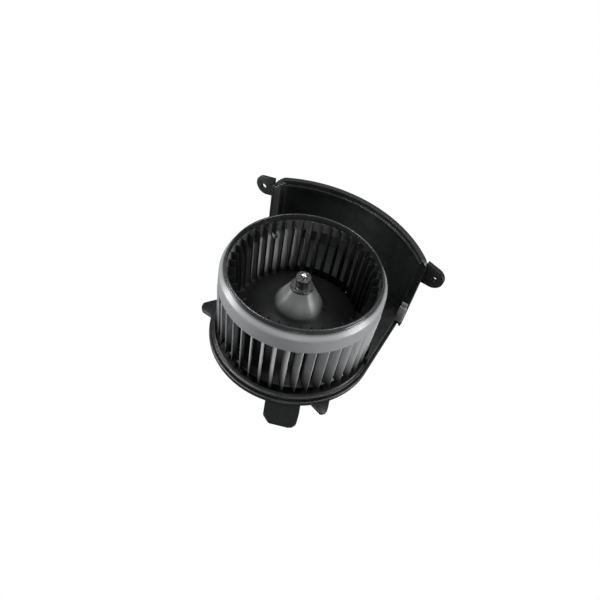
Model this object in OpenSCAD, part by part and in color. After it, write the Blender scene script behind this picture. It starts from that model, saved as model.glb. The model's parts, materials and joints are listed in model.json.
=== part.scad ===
// Cabin blower: squirrel-cage wheel on a brushed DC motor, carried by a round
// base plate with a removable segment of the scroll wall.
// Z is the wheel axis, Y points at the scroll wall, Z = 0 is the motor end face.

/* [Wheel] */
// Outside diameter of the wheel over the blade tips
wheel_d = 150; // [140:1:156]
// Height of the wheel from the blade feet to the top of the inlet lip
wheel_h = 83.5; // [78:0.5:86]
// Number of blades
blade_count = 43; // [36:1:46]
// Thickness of one blade
blade_t = 1.5; // [1.0:0.1:2.0]
// Radial depth of the blade row
blade_depth = 14.8; // [12:0.2:16]
// Forward lead of the blade tip over its inner edge, in degrees
blade_lead = 4.1; // [3:0.1:6]
// Angle at which the first blade stands at rest
blade_phase = 7.75; // [0:0.05:8.35]
// Height of the shroud ring
ring_h = 23; // [20:1:26]

/* [Motor] */
// Outside diameter of the motor can
can_d = 68; // [60:1:70]
// Length of the motor can
can_l = 71; // [68:1:72]
// Shaft diameter
shaft_d = 6; // [5:0.5:8]
// Radial running clearance of the shaft in its bearings
shaft_clear = 0.04; // [0.02:0.01:0.08]
// Number of armature slots and commutator bars
slot_count = 12; // [8:2:14]

/* [Base plate] */
// Diameter of the base plate over its lower flange
base_d = 165.4; // [162:0.2:170]
// Height of the inlet lip above the underside of the base plate
lip_above_base = 95; // [92:1:98]
// Height of the underside of the base plate above the motor end face
base_z = 52; // [48:1:56]
// Height of the raised scroll floor above the underside of the base plate
scroll_floor_h = 18; // [16:1:20]

/* [Scroll wall] */
// Outside radius of the scroll wall at its top edge
wall_r = 125.6; // [120:0.2:130]
// Wall thickness
wall_t = 2.5; // [2:0.1:3]
// Centre of the wall's arc across the wheel axis
arc_x = -8.9; // [-9.6:0.1:-8]
// Centre of the wall's arc along the wheel axis's Y
arc_y = -8.1; // [-8.6:0.1:-7.6]
// Distance of the wall's end faces from the wheel axis
wall_front_y = 80.4; // [78:0.2:84]
// Width of the left upright of the wall's frame
left_post_w = 10.5; // [9:0.5:12]
// Width of the right upright of the wall's frame
right_post_w = 8.5; // [8:0.5:11]
// Distance of the left fixing hole from the wheel axis
left_hole_x = 104.4; // [102:0.2:106]
// Distance of the right fixing hole from the wheel axis
right_hole_x = 93.4; // [91:0.2:95]
// Diameter of the left fixing hole
left_hole_d = 5.4; // [4.8:0.1:7]
// Diameter of the right fixing hole
right_hole_d = 4.6; // [4:0.1:6.6]

/* [Hidden] */
$fn = 96;
eps = 0.01;

black_plastic = "#17181a";
satin_plastic = "#2b2c2f";
steel = "#b9bcc0";
copper = "#b06a3a";
brass = "#c8a24a";
rubber = "#101010";

// Main heights
lip_z = base_z + lip_above_base;
foot_z = lip_z - wheel_h;
ring_foot_z = lip_z - ring_h;

// Wheel radii
tip_r = wheel_d / 2;
root_r = tip_r - blade_depth;
lip_r = tip_r - 5.65;
lip_t = 1.5;
ring_t = 1.8;
blade_top_z = lip_z - 6.9;

// Wheel hub: outer skin of the trumpet from the neck to the blade feet
neck_r = 5.8;
neck_rim_r = 6.9;
collar_r = 10.4;
neck_top_z = lip_z - 13.7;
collar_z = lip_z - 24;
insert_r = 4.9;
hub_boss_r = 8.6;
hub_boss_z = lip_z - 42;
hub_t = 2.2;
rim_in = 3.2;
hub_skin = [
    [collar_r, collar_z], [collar_r, collar_z - 1.6], [11.4, lip_z - 27], [17, lip_z - 37.4],
    [22, lip_z - 46.4], [25.5, lip_z - 50.6], [31, lip_z - 54.4], [40, lip_z - 59.4],
    [50, lip_z - 64.4], [root_r, lip_z - 69.2], [tip_r - 7, foot_z + 6], [tip_r - rim_in, foot_z + hub_t + 0.4]
];
hub_under = [for (i = [len(hub_skin) - 1 : -1 : 2]) [hub_skin[i][0], hub_skin[i][1] - hub_t]];

// Blade centre line: radial at the root, then an arc that leads forward
root_straight = 4.7;
arc_dx = tip_r * cos(blade_lead) - root_r - root_straight;
arc_dy = tip_r * sin(blade_lead);
arc_r = (arc_dx * arc_dx + arc_dy * arc_dy) / (2 * arc_dy);
arc_sweep = asin(arc_dx / arc_r);
arc_steps = 6;
blade_stations = concat(
    [[root_r, 0, 0]],
    [for (i = [0 : arc_steps]) let (a = arc_sweep * i / arc_steps)
        [root_r + root_straight + arc_r * sin(a), arc_r * (1 - cos(a)), a]]
);

// Motor
shaft_r = shaft_d / 2;
shaft_foot_z = 2.2;
shaft_tip_z = lip_z - 9.6;
can_r = can_d / 2;
can_wall = 2;
can_foot_z = 10;
can_top_z = can_foot_z + can_l;
nose_r = 11.5;
nose_h = 7.8;
nose_cap_t = 1.7;
bearing_r = 8.5;
bearing_h = 8;
magnet_t = 4;
magnet_foot_z = 26;
magnet_h = 46;
core_r = can_r - can_wall - magnet_t - 1.5;
core_foot_z = 33;
core_h = 30;
slot_r = 2.6;
slot_pitch_r = core_r - 5;
head_h = 9;
comm_r = 10;
comm_foot_z = 13;
comm_h = 10;
brush_w = 6;
brush_h = 6.4;
brush_l = 9;
brush_gap = 0.3;
brush_x = comm_r + brush_gap;
brush_mid_z = comm_foot_z + 4.3;
holder_wall = 0.8;
holder_x = 12.5;
holder_end_x = 29;
spring_end_x = holder_end_x - 1;
card_z = 10;
card_t = 2.2;

// Motor fixing
ear_angles = [90, 210, 330];
motor_ear_r = 41.5;
motor_ear_z = 10.5;
motor_ear_t = 3;

// Base plate
base_r = base_d / 2;
flange_t = 3;
groove_h = 3.4;
groove_r = base_r - 4;
upper_flange_r = base_r - 2.6;
upper_flange_z = base_z + flange_t + groove_h;
floor_z = base_z + 4;
floor_t = 2.4;
well_r = base_r - 6;
scroll_floor_z = base_z + scroll_floor_h;
cup_r = can_r + 2.6;
cup_t = 2.4;
cup_foot_z = 16;
floor_dots = [[69.1, 81.5], [71.4, 54.5]];

// Scroll wall: its arc runs from the outer edge of the left post into the
// middle of the right post
frame_left_x = -93;
frame_right_x = 82.8;
frame_t = 3;
left_post_back = 2.2;
rib_t = 2;
rib_reach = 10.2;
arc_end_y = wall_front_y + frame_t - 0.7;
arc_start = asin((arc_end_y - arc_y) / wall_r);
arc_end = acos((frame_left_x + 0.1 - arc_x) / wall_r);
lip_out = 1.8;
lip_w = 2.6;
inner_lip_w = 1.4;
frame_top_h = 7.6;
panel_step = 1.4;
// Each ear: X of its round end, height of its centre, radius, thickness, rise of top and bottom edges
left_ear = [-103.4, lip_z - 13.5, 10.3, 3, 14, 14];
left_hole_z = lip_z - 15;
right_ear = [91.2, lip_z - 16.4, 11, 4.5, 14, 0];
right_hole_z = lip_z - 16.4;

// Snap clips in front of the posts
clip_w = 7.2;
clip_t = 3.6;
clip_h = 21.5;
clip_lug_h = 5.5;
clip_y = wall_front_y - lip_out - clip_t - 0.02;
clip_z = base_z + 8.5;
clip_notch_y = clip_y - 3;
notch_back_y = wall_front_y + frame_t + 0.05;

// Connector socket under the rim
socket_angle = -62;
socket_r = base_r + 0.4;
socket_h = 16;
socket_foot_z = base_z - socket_h;
socket_wall = 2.4;
socket_front = socket_r + 13;
hood_toe_h = 1.5;

// ---------------------------------------------------------------- wheel

function side(st, d) = [st[0] - d * sin(st[2]), st[1] + d * cos(st[2])];

module blade_section() {
    last = len(blade_stations) - 1;
    polygon(concat(
        [for (i = [0 : last]) side(blade_stations[i], -blade_t / 2)],
        [for (i = [last : -1 : 0]) side(blade_stations[i], blade_t / 2)]
    ));
}

// Space that the blade row may fill: under the ring, down to the hub skin
module blade_envelope() {
    rotate_extrude()
        polygon([
            [root_r - 1, hub_skin[9][1] - 1.2], [root_r - 1, blade_top_z], [lip_r + 0.6, blade_top_z],
            [tip_r - ring_t - 0.6, lip_z - 10.4], [tip_r - ring_t - 0.1, ring_foot_z - 0.05],
            [tip_r + 0.1, ring_foot_z - 0.05], [tip_r + 0.1, foot_z], [tip_r - rim_in - 0.4, foot_z + 0.2],
            [tip_r - 7, foot_z + 4.4]
        ]);
}

module fan_wheel() {
    color(black_plastic) {
        intersection() {
            for (i = [0 : blade_count - 1])
                rotate([0, 0, blade_phase + i * 360 / blade_count])
                    translate([0, 0, foot_z])
                        linear_extrude(height = blade_top_z - foot_z)
                            blade_section();
            blade_envelope();
        }
        rotate_extrude()
            polygon(concat(
                [[insert_r, hub_boss_z], [insert_r, neck_top_z - 1.4], [neck_rim_r - 1, neck_top_z - 1.4],
                    [neck_rim_r - 1, neck_top_z], [neck_rim_r, neck_top_z], [neck_rim_r, neck_top_z - 1.6],
                    [neck_r, neck_top_z - 2.2], [neck_r, collar_z]],
                hub_skin, hub_under, [[hub_boss_r, hub_skin[2][1] - hub_t - 2], [hub_boss_r, hub_boss_z]]
            ));
        // Small locating peg at the foot of the cone
        rotate([0, 0, 21])
            translate([24, 0, lip_z - 50])
                cylinder(h = 4.2, r = 1.6, $fn = 24);
    }
}

module wheel_ring() {
    color(satin_plastic)
        rotate_extrude()
            polygon([
                [lip_r - lip_t, lip_z], [lip_r, lip_z], [lip_r + 0.2, lip_z - 3.2], [lip_r + 1, lip_z - 3.9],
                [tip_r - 1.4, lip_z - 7.8], [tip_r - 0.8, lip_z - 9.4], [tip_r, ring_foot_z],
                [tip_r - ring_t, ring_foot_z], [tip_r - ring_t - 0.5, lip_z - 10.3],
                [lip_r + 0.7, lip_z - 6.8], [lip_r - lip_t, lip_z - 6.8]
            ]);
}

module hub_insert() {
    color(steel)
        translate([0, 0, hub_boss_z])
            difference() {
                cylinder(h = neck_top_z - hub_boss_z - 1.4, r = insert_r);
                translate([0, 0, -1])
                    cylinder(h = neck_top_z - hub_boss_z + 3, r = shaft_r + 0.02);
            }
}

module shaft_clip() {
    clip_z = neck_top_z - 1.38;
    color(steel)
        difference() {
            translate([0, 0, clip_z])
                cylinder(h = 0.8, r = neck_rim_r - 1.1);
            translate([0, 0, clip_z - 1])
                cylinder(h = 3, r = shaft_r + 0.02);
            for (a = [0 : 60 : 300])
                rotate([0, 0, a])
                    translate([shaft_r + 0.9, 0, clip_z - 1])
                        cylinder(h = 3, r = 0.45, $fn = 24);
        }
}

module balance_clip() {
    clip_angle = blade_phase + 17 * 360 / blade_count;
    clip_gap = blade_t + 0.1;
    color(steel)
        rotate([0, 0, clip_angle])
            translate([root_r - 1.2, -(clip_gap / 2 + 0.8), lip_z - 20])
                difference() {
                    cube([5, clip_gap + 1.6, 4]);
                    translate([1.2, 0.8, -1])
                        cube([5, clip_gap, 6]);
                }
}

// ---------------------------------------------------------------- motor

module motor_shaft() {
    color(steel)
        rotate_extrude()
            polygon([
                [0, shaft_foot_z], [shaft_r - 0.6, shaft_foot_z], [shaft_r, shaft_foot_z + 0.6],
                [shaft_r, shaft_tip_z - 0.8], [shaft_r - 0.8, shaft_tip_z], [0, shaft_tip_z]
            ]);
}

module armature_core() {
    color(steel)
        difference() {
            translate([0, 0, core_foot_z])
                cylinder(h = core_h, r = core_r);
            translate([0, 0, core_foot_z - 1])
                cylinder(h = core_h + 2, r = shaft_r + 0.02);
            for (i = [0 : slot_count - 1])
                rotate([0, 0, i * 360 / slot_count])
                    translate([0, 0, core_foot_z - 1]) {
                        translate([slot_pitch_r, 0, 0])
                            cylinder(h = core_h + 2, r = slot_r);
                        translate([slot_pitch_r, -0.9, 0])
                            cube([10, 1.8, core_h + 2]);
                    }
        }
}

module armature_windings() {
    head_in = 9;
    head_out = slot_pitch_r + slot_r - 0.3;
    round_off = 3;
    color(copper) {
        for (z = [core_foot_z - head_h, core_foot_z + core_h])
            rotate_extrude()
                polygon([
                    [head_in + round_off, z], [head_out - round_off, z], [head_out, z + round_off],
                    [head_out, z + head_h - round_off], [head_out - round_off, z + head_h],
                    [head_in + round_off, z + head_h], [head_in, z + head_h - round_off],
                    [head_in, z + round_off]
                ]);
        for (i = [0 : slot_count - 1])
            rotate([0, 0, i * 360 / slot_count])
                translate([slot_pitch_r - 0.2, 0, core_foot_z - 1])
                    cylinder(h = core_h + 2, r = slot_r - 0.3);
    }
}

module commutator() {
    color(copper)
        difference() {
            translate([0, 0, comm_foot_z])
                union() {
                    cylinder(h = comm_h, r = comm_r);
                    translate([0, 0, comm_h - 1.5])
                        cylinder(h = 1.5, r = comm_r + 1.5);
                }
            translate([0, 0, comm_foot_z - 1])
                cylinder(h = comm_h + 2, r = shaft_r + 0.02);
            for (i = [0 : slot_count - 1])
                rotate([0, 0, (i + 0.5) * 360 / slot_count])
                    translate([comm_r - 1.2, -0.3, comm_foot_z - 1])
                        cube([5, 0.6, comm_h + 2]);
        }
}

module washer(z, h, r_out, r_in) {
    translate([0, 0, z])
        difference() {
            cylinder(h = h, r = r_out);
            translate([0, 0, -1])
                cylinder(h = h + 2, r = r_in);
        }
}

module thrust_washers() {
    color("#d9d2b8") {
        washer(can_top_z - can_wall - 2, 1, 7, shaft_r + 0.02);
        washer(comm_foot_z - 1.2, 1, 6.5, shaft_r + 0.02);
    }
}

module bearing(z) {
    translate([0, 0, z])
        difference() {
            intersection() {
                cylinder(h = bearing_h, r = bearing_r);
                translate([0, 0, bearing_h / 2])
                    sphere(r = bearing_r);
            }
            translate([0, 0, -1])
                cylinder(h = bearing_h + 2, r = shaft_r + shaft_clear);
        }
}

upper_bearing_z = can_top_z - can_wall + 0.02;
lower_bearing_z = 2.05;

module upper_bearing() {
    color(brass)
        bearing(upper_bearing_z);
}

module lower_bearing() {
    color(brass)
        bearing(lower_bearing_z);
}

module bearing_retainers() {
    color(steel) {
        washer(upper_bearing_z - 0.87, 0.8, nose_r - 1.7, shaft_r + 1.2);
        washer(lower_bearing_z + bearing_h + 0.05, 0.7, 10.4, shaft_r + 3);
    }
}

module motor_can() {
    color(steel)
        difference() {
            union() {
                translate([0, 0, can_foot_z])
                    cylinder(h = can_l, r = can_r);
                translate([0, 0, can_top_z - 1])
                    cylinder(h = nose_h + 1, r = nose_r);
            }
            translate([0, 0, can_foot_z - 1])
                cylinder(h = can_l - can_wall + 1, r = can_r - can_wall);
            translate([0, 0, can_top_z - can_wall - 1])
                cylinder(h = can_wall + 1 + nose_h - nose_cap_t, r = bearing_r + 0.05);
            translate([0, 0, can_top_z])
                cylinder(h = nose_h + 2, r = shaft_r + 1);
            for (a = [45 : 90 : 315])
                rotate([0, 0, a])
                    translate([can_r - 13, 0, can_top_z - can_wall - 1])
                        cylinder(h = can_wall + 2, r = 5);
        }
}

module field_magnets() {
    magnet_r = can_r - can_wall - 0.02;
    color("#4a4a4c")
        for (a = [0, 180])
            rotate([0, 0, a - 62])
                rotate_extrude(angle = 124)
                    translate([magnet_r - magnet_t, magnet_foot_z])
                        square([magnet_t, magnet_h]);
}

module end_cap() {
    color(steel)
        difference() {
            union() {
                cylinder(h = can_foot_z - 0.02, r = can_r);
                for (a = ear_angles)
                    rotate([0, 0, a]) {
                        translate([0, 0, motor_ear_z - motor_ear_t])
                            translate([can_r - 4, -6, 0])
                                cube([motor_ear_r - can_r + 4, 12, motor_ear_t - 0.6]);
                        translate([motor_ear_r, 0, motor_ear_z - motor_ear_t])
                            cylinder(h = motor_ear_t - 0.6, r = 6);
                    }
            }
            translate([0, 0, 2])
                difference() {
                    cylinder(h = can_foot_z, r = can_r - can_wall - 0.5);
                    translate([0, 0, -1])
                        cylinder(h = can_foot_z + 2, r = 11.5);
                }
            translate([0, 0, 2])
                cylinder(h = can_foot_z, r = bearing_r + 0.05);
            for (a = ear_angles)
                rotate([0, 0, a])
                    translate([motor_ear_r, 0, -1])
                        cylinder(h = 20, r = 2.6);
        }
}

module brush_card() {
    color("#6b4a2a")
        difference() {
            translate([0, 0, card_z])
                cylinder(h = card_t, r = can_r - can_wall - 0.2);
            translate([0, 0, card_z - 1])
                cylinder(h = card_t + 2, r = 11.8);
        }
}

module brush_holders() {
    box_w = brush_w + 2 * holder_wall + 0.2;
    box_h = brush_h + 2 * holder_wall + 0.2;
    tab_z = card_z + card_t + 0.02;
    color(brass)
        for (m = [0, 1])
            mirror([m, 0, 0])
                difference() {
                    union() {
                        translate([holder_x, -box_w / 2, brush_mid_z - box_h / 2])
                            cube([holder_end_x - holder_x, box_w, box_h]);
                        for (x = [holder_x + 1, holder_end_x - 4])
                            translate([x, -box_w / 2, tab_z])
                                cube([3, box_w, brush_mid_z - tab_z]);
                    }
                    translate([holder_x - 1, -box_w / 2 + holder_wall, brush_mid_z - box_h / 2 + holder_wall])
                        cube([holder_end_x - holder_x, box_w - 2 * holder_wall, box_h - 2 * holder_wall]);
                }
}

// Carbon brush on the +X side, its end ground to the commutator
module brush() {
    difference() {
        translate([comm_r - 2, -brush_w / 2, brush_mid_z - brush_h / 2])
            cube([brush_l + 2.3, brush_w, brush_h]);
        translate([0, 0, comm_foot_z - 5])
            cylinder(h = comm_h + 10, r = brush_x);
    }
}

module brush_right() {
    color("#2a2a2c")
        brush();
}

module brush_left() {
    color("#2a2a2c")
        mirror([1, 0, 0])
            brush();
}

// Coil spring along +X between the brush and the closed end of its holder
spring_start_x = comm_r + brush_l + 0.3;
spring_wire = 0.35;
spring_r = 2.2;
spring_turns = 5;
spring_steps = 20;
spring_sides = 6;

function spring_point(i, j) =
    let (t = i / (spring_turns * spring_steps))
    let (a = 360 * spring_turns * t)
    let (b = 360 * j / spring_sides)
    let (r = spring_r + spring_wire * cos(b))
    [
        spring_start_x + spring_wire + (spring_end_x - spring_start_x - 2 * spring_wire) * t
            + spring_wire * sin(b),
        r * cos(a), brush_mid_z + r * sin(a)
    ];

module spring() {
    rings = spring_turns * spring_steps;
    n = spring_sides;
    polyhedron(
        points = [for (i = [0 : rings]) for (j = [0 : n - 1]) spring_point(i, j)],
        faces = concat(
            [[for (j = [0 : n - 1]) j]],
            [for (i = [0 : rings - 1]) for (j = [0 : n - 1])
                [i * n + j, (i + 1) * n + j, (i + 1) * n + (j + 1) % n, i * n + (j + 1) % n]],
            [[for (j = [n - 1 : -1 : 0]) rings * n + j]]
        )
    );
}

module brush_spring_right() {
    color(steel)
        spring();
}

module brush_spring_left() {
    color(steel)
        rotate([0, 0, 180])
            spring();
}

module chokes() {
    color(copper)
        for (a = [55, 235])
            rotate([0, 0, a])
                translate([21, 0, card_z + card_t + 0.02])
                    cylinder(h = 9, r = 3);
}

module terminals() {
    color(brass)
        for (y = [-5, 5])
            rotate([0, 0, socket_angle])
                translate([socket_r - 2, y - 3, socket_foot_z + 3])
                    cube([0.8, 6, socket_h - socket_wall - 3.02]);
}

// ---------------------------------------------------------------- base plate

// Plan outline: a circle drawn out to the two feet of the scroll wall. Each
// side meets the circle just before its tangent point and runs on inside it.
function run_on(from, to) = to + 0.08 * (to - from);

module base_outline(inset) {
    r = base_r - inset;
    left_foot = [frame_left_x + inset, wall_front_y];
    right_foot = [frame_right_x - inset, wall_front_y];
    left_tangent = 180 - atan2(wall_front_y, -left_foot[0]) + acos(r / norm(left_foot));
    side_lead = 5;
    left_meet = r * [cos(left_tangent - side_lead), sin(left_tangent - side_lead)];
    right_meet = r * [cos(side_lead), sin(side_lead)];
    circle(r = r);
    polygon([
        right_foot, left_foot, run_on(left_foot, left_meet), [0, 0], run_on(right_foot, right_meet)
    ]);
    intersection() {
        translate([arc_x, arc_y])
            circle(r = wall_r - inset);
        translate([left_foot[0], wall_front_y - 1])
            square([right_foot[0] - left_foot[0], 60]);
    }
}

// Plan under the wall's panel, between the two posts
module wall_footprint() {
    intersection() {
        translate([arc_x, arc_y])
            circle(r = wall_r - 0.3);
        translate([frame_left_x + left_post_w, wall_front_y - 1])
            square([frame_right_x - right_post_w - frame_left_x - left_post_w, 60]);
    }
}

// Guide tabs that stand out of the lower flange
module side_tabs() {
    translate([0, 0, base_z])
        linear_extrude(height = flange_t) {
            polygon([[-78, -17], [-83.2, -17.9], [-90.6, -30], [-88.6, -35.6], [-84.3, -38.7], [-70, -38.7]]);
            polygon([[55, -54], [59.9, -57.6], [71.8, -60.4], [74.6, -57.4], [74.8, -53.4], [70.9, -43.2], [64, -44]]);
        }
}

module base_plate() {
    color(black_plastic)
        difference() {
            union() {
                translate([0, 0, base_z])
                    linear_extrude(height = flange_t)
                        base_outline(0);
                translate([0, 0, base_z])
                    linear_extrude(height = upper_flange_z - base_z + eps)
                        base_outline(4);
                translate([0, 0, upper_flange_z])
                    linear_extrude(height = flange_t)
                        base_outline(2.6);
                translate([0, 0, base_z])
                    linear_extrude(height = scroll_floor_h)
                        difference() {
                            union() {
                                base_outline(2.2);
                                wall_footprint();
                            }
                            circle(r = well_r);
                            translate([-150, -150])
                                square([300, 150]);
                        }
                side_tabs();
                for (at = floor_dots)
                    translate([at[0], at[1], scroll_floor_z - eps])
                        cylinder(h = 0.4, r = 1.6, $fn = 32);
                translate([0, 0, cup_foot_z])
                    cylinder(h = floor_z - cup_foot_z, r = cup_r + cup_t);
                for (a = ear_angles)
                    rotate([0, 0, a])
                        translate([motor_ear_r, 0, motor_ear_z + 2.6])
                            cylinder(h = floor_z - motor_ear_z - 2.6, r = 5);
            }
            // Well over the wheel and the hollow underside of the floor
            translate([0, 0, floor_z])
                cylinder(h = 60, r = well_r);
            difference() {
                translate([0, 0, base_z - 1])
                    linear_extrude(height = floor_z - floor_t - base_z + 1)
                        base_outline(6.6);
                translate([0, 0, 0])
                    cylinder(h = 100, r = cup_r + cup_t - 0.5);
                for (a = ear_angles)
                    rotate([0, 0, a])
                        translate([motor_ear_r, 0, 0])
                            cylinder(h = 100, r = 5);
            }
            translate([0, 0, base_z - 1])
                linear_extrude(height = scroll_floor_h - floor_t + 1)
                    difference() {
                        base_outline(7);
                        circle(r = well_r + 2.4);
                        translate([-150, -150])
                            square([300, 152]);
                    }
            translate([0, 0, -1])
                cylinder(h = 100, r = cup_r);
            for (a = ear_angles)
                rotate([0, 0, a])
                    translate([motor_ear_r, 0, 0])
                        cylinder(h = 30, r = 1.7);
            // Notches for the posts and their snap clips
            translate([frame_left_x - 1, clip_notch_y, base_z - 1])
                cube([left_post_w + 1, notch_back_y + left_post_back - clip_notch_y, scroll_floor_h + 5]);
            translate([frame_right_x - right_post_w, clip_notch_y, base_z - 1])
                cube([right_post_w + 1, notch_back_y - clip_notch_y, scroll_floor_h + 5]);
        }
}

module motor_isolators() {
    color(rubber) {
        for (z = [cup_foot_z + 6, floor_z - 14])
            washer(z, 8, cup_r - 0.05, can_r + 0.05);
        for (a = ear_angles)
            rotate([0, 0, a])
                translate([motor_ear_r, 0, 0])
                    washer(motor_ear_z - 0.5, 3, 5, 2);
    }
}

module motor_screws() {
    color(steel)
        for (a = ear_angles)
            rotate([0, 0, a])
                translate([motor_ear_r, 0, 0]) {
                    translate([0, 0, motor_ear_z - motor_ear_t - 2.6])
                        cylinder(h = 2.5, r = 4.4);
                    translate([0, 0, motor_ear_z - motor_ear_t - 1])
                        cylinder(h = 20, r = 1.65);
                }
}

// Plan of the socket in its own frame: X outward from the wheel axis
module socket_outline(inset) {
    back = socket_r - 14 + inset;
    front = socket_front - inset;
    left = -15.5 + inset;
    right = 16.5 - inset;
    polygon([
        [back, left], [front - 9, left], [front - 1.6, left + 6], [front, right - 8],
        [front - 1, right - 4], [front - 4, right - 1], [front - 9, right], [back, right]
    ]);
}

// Side view of the socket: level under the flange, then a hood that slopes
// down to the front edge
module socket_side(inset) {
    top = socket_foot_z + socket_h - 0.02 - inset;
    foot = socket_foot_z - (inset > 0 ? 1 : 0);
    toe_x = socket_front + 1;
    polygon([
        [0, foot], [toe_x, foot], [toe_x, socket_foot_z + hood_toe_h - inset],
        [socket_r - 1, top], [0, top]
    ]);
}

module socket_block(inset) {
    half_span = 40;
    intersection() {
        translate([0, 0, socket_foot_z - 1])
            linear_extrude(height = socket_h + 2)
                socket_outline(inset);
        translate([0, half_span, 0])
            rotate([90, 0, 0])
                linear_extrude(height = 2 * half_span)
                    socket_side(inset);
    }
}

module connector_socket() {
    color(black_plastic)
        rotate([0, 0, socket_angle])
            difference() {
                socket_block(0);
                socket_block(socket_wall);
            }
}

// ---------------------------------------------------------------- scroll wall

// Annular sector with the wall's plan: radii and heights of its section
module arc_band(r_in, r_out, z0, z1) {
    translate([arc_x, arc_y, 0])
        rotate([0, 0, arc_start])
            rotate_extrude(angle = arc_end - arc_start)
                translate([r_in, z0])
                    square([r_out - r_in, z1 - z0]);
}

// Upright channel at one end of the wall; out is the side of its outer lip
module post(x_edge, out, post_w, extra_back) {
    x0 = out > 0 ? x_edge - post_w : x_edge;
    groove_x = out > 0 ? x0 + inner_lip_w : x0 + lip_w;
    difference() {
        translate([x0, wall_front_y - lip_out, base_z])
            cube([post_w, frame_t + lip_out + extra_back, lip_z - base_z]);
        translate([groove_x, wall_front_y - lip_out - 1, base_z - 1])
            cube([post_w - lip_w - inner_lip_w, lip_out + 1, lip_z - base_z - lip_w + 1]);
    }
}

// Fixing ear: a round-ended plate in the plane of the wall's end faces
module ear(x_edge, out, size, hole_x, hole_z, hole_d) {
    mid_x = size[0];
    ear_z = size[1];
    ear_r = size[2];
    ear_t = size[3];
    top_rise = size[4];
    low_rise = size[5];
    root_x = x_edge - out;
    run = abs(mid_x - root_x);
    difference() {
        union() {
            translate([mid_x, wall_front_y + ear_t, ear_z])
                rotate([90, 0, 0])
                    cylinder(h = ear_t, r = ear_r);
            translate([0, wall_front_y + ear_t, 0])
                rotate([90, 0, 0])
                    linear_extrude(ear_t)
                        polygon([
                            [mid_x + out * ear_r * sin(top_rise), ear_z + ear_r * cos(top_rise)],
                            [root_x, ear_z + ear_r / cos(top_rise) + run * tan(top_rise)],
                            [root_x, ear_z - ear_r / cos(low_rise) + run * tan(low_rise)],
                            [mid_x - out * ear_r * sin(low_rise), ear_z - ear_r * cos(low_rise)],
                            [mid_x, ear_z]
                        ]);
        }
        translate([hole_x, wall_front_y + ear_t + 1, hole_z])
            rotate([90, 0, 0])
                cylinder(h = ear_t + 2, r = hole_d / 2);
    }
}

module scroll_wall() {
    panel_in = wall_r - frame_t + panel_step;
    lip_in = wall_r - frame_t - lip_out;
    low_lip_z = lip_z - frame_top_h;
    color(black_plastic) {
        arc_band(panel_in, panel_in + wall_t, scroll_floor_z + 0.02, low_lip_z + inner_lip_w);
        arc_band(wall_r - frame_t, wall_r, low_lip_z, lip_z);
        arc_band(lip_in, wall_r, lip_z - lip_w, lip_z);
        arc_band(lip_in, wall_r, low_lip_z, low_lip_z + inner_lip_w);
        post(frame_left_x, -1, left_post_w, left_post_back);
        post(frame_right_x, 1, right_post_w, 0);
        translate([frame_left_x + left_post_w - rib_t, wall_front_y + 1, scroll_floor_z + 0.02])
            cube([rib_t, rib_reach, lip_z - scroll_floor_z - 1]);
        ear(frame_left_x, -1, left_ear, -left_hole_x, left_hole_z, left_hole_d);
        ear(frame_right_x, 1, right_ear, right_hole_x, right_hole_z, right_hole_d);
    }
}

// Snap tongue that ties one post to the base plate, with its release lug above
module snap_clip() {
    color(satin_plastic) {
        cube([clip_w, clip_t, clip_h]);
        translate([0.4, 1.2, clip_h - eps])
            cube([clip_w - 1.2, clip_t - 1.2, clip_lug_h]);
    }
}

module clip_right() {
    translate([frame_right_x - clip_w - 0.3, clip_y, clip_z])
        snap_clip();
}

module clip_left() {
    translate([frame_left_x + clip_w + 0.3, clip_y, clip_z])
        mirror([1, 0, 0])
            snap_clip();
}

fan_wheel();
wheel_ring();
hub_insert();
shaft_clip();
balance_clip();
motor_shaft();
armature_core();
armature_windings();
commutator();
thrust_washers();
upper_bearing();
lower_bearing();
bearing_retainers();
motor_can();
field_magnets();
end_cap();
brush_card();
brush_holders();
brush_left();
brush_right();
brush_spring_left();
brush_spring_right();
chokes();
terminals();
base_plate();
motor_isolators();
motor_screws();
connector_socket();
scroll_wall();
clip_left();
clip_right();
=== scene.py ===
import json
import math

import bmesh
import bpy
from mathutils import Matrix, Quaternion, Vector


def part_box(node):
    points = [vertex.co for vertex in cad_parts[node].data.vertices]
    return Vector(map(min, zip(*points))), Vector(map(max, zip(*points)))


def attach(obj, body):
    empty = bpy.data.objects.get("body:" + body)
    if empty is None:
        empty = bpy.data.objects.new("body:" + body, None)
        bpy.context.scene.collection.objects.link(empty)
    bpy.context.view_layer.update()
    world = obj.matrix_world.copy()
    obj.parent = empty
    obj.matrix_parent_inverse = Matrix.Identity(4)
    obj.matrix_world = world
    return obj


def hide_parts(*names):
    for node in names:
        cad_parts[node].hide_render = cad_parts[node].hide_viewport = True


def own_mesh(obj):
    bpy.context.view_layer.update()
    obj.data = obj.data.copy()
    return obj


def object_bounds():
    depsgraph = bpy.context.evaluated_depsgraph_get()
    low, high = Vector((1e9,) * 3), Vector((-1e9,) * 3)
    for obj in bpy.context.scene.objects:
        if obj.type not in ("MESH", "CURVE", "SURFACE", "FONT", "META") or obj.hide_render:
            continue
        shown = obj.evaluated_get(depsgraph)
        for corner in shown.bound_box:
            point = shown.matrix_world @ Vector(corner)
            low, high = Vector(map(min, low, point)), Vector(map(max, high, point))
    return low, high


# Cabin blower: squirrel-cage wheel on a motor, round base plate, scroll wall segment.
# Shapes are worked out in millimetres and written to the meshes in metres.

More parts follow.
